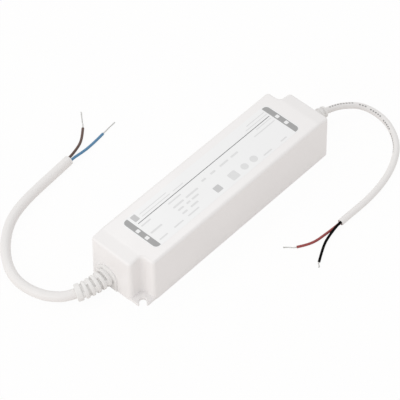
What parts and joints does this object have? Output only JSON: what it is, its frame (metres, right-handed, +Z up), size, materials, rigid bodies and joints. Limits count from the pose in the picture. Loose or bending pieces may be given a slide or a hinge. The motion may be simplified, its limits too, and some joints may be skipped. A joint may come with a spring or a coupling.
{
  "type": "led driver",
  "caption": "Slim white LED driver: stepped moulded case with open screw slots at opposite corners, ribbed cable boots and flying cords with stripped ends.",
  "frame": {"origin": "middle of the case's mounting face", "axes": "+X along the case from the mains end to the lamp end, +Z up out of the label face"},
  "size_m": [0.2435, 0.1865, 0.0327],
  "materials": {
    "case_plastic": "fine moulded white plastic",
    "label_film": "satin printed film",
    "boot_pvc": "soft white moulding",
    "cord_pvc": "soft white sheath",
    "brown_pvc": "soft insulation",
    "blue_pvc": "soft insulation",
    "red_pvc": "soft insulation",
    "black_pvc": "soft insulation",
    "tinned_copper": "bright fine strands",
    "board": "lacquered glass laminate",
    "black_epoxy": "moulded epoxy",
    "yellow_case": "moulded box",
    "ferrite": "dark sintered",
    "coated_ferrite": "painted sintered",
    "copper_wire": "enamelled wire",
    "capacitor_sleeve": "shrunk sleeve",
    "bobbin_plastic": "moulded",
    "winding_tape": "tape over wire",
    "spreader_aluminium": "stamped sheet",
    "blue_ceramic": "dipped disc",
    "pale_epoxy": "moulded epoxy"
  },
  "bodies": {
    "root": {"housing": "case_plastic", "base_cover": "case_plastic", "label": "label_film", "input_boot": "boot_pvc", "output_boot": "boot_pvc", "input_sheath": "cord_pvc", "output_sheath": "cord_pvc", "input_core_brown": "brown_pvc", "input_core_blue": "blue_pvc", "output_core_red": "red_pvc", "output_core_black": "black_pvc", "brown_strands": "tinned_copper", "blue_strands": "tinned_copper", "red_strands": "tinned_copper", "black_strands": "tinned_copper", "input_tail_brown": "brown_pvc", "input_tail_blue": "blue_pvc", "output_tail_red": "red_pvc", "output_tail_black": "black_pvc", "circuit_board": "board", "fuse": "black_epoxy", "suppression_capacitor": "yellow_case", "ring_choke_core": "coated_ferrite", "ring_choke_windings": "copper_wire", "bridge_rectifier": "black_epoxy", "reservoir_capacitor": "capacitor_sleeve", "transformer_core": "ferrite", "transformer_bobbin": "bobbin_plastic", "transformer_winding": "winding_tape", "switch_transistor": "black_epoxy", "switch_heat_spreader": "spreader_aluminium", "rectifier_diode": "black_epoxy", "diode_heat_spreader": "spreader_aluminium", "output_capacitor_a": "capacitor_sleeve", "output_capacitor_b": "capacitor_sleeve", "drum_choke_core": "ferrite", "drum_choke_winding": "copper_wire", "disc_capacitor": "blue_ceramic", "optocoupler": "pale_epoxy", "control_chip": "black_epoxy"}
  },
  "joints": []
}
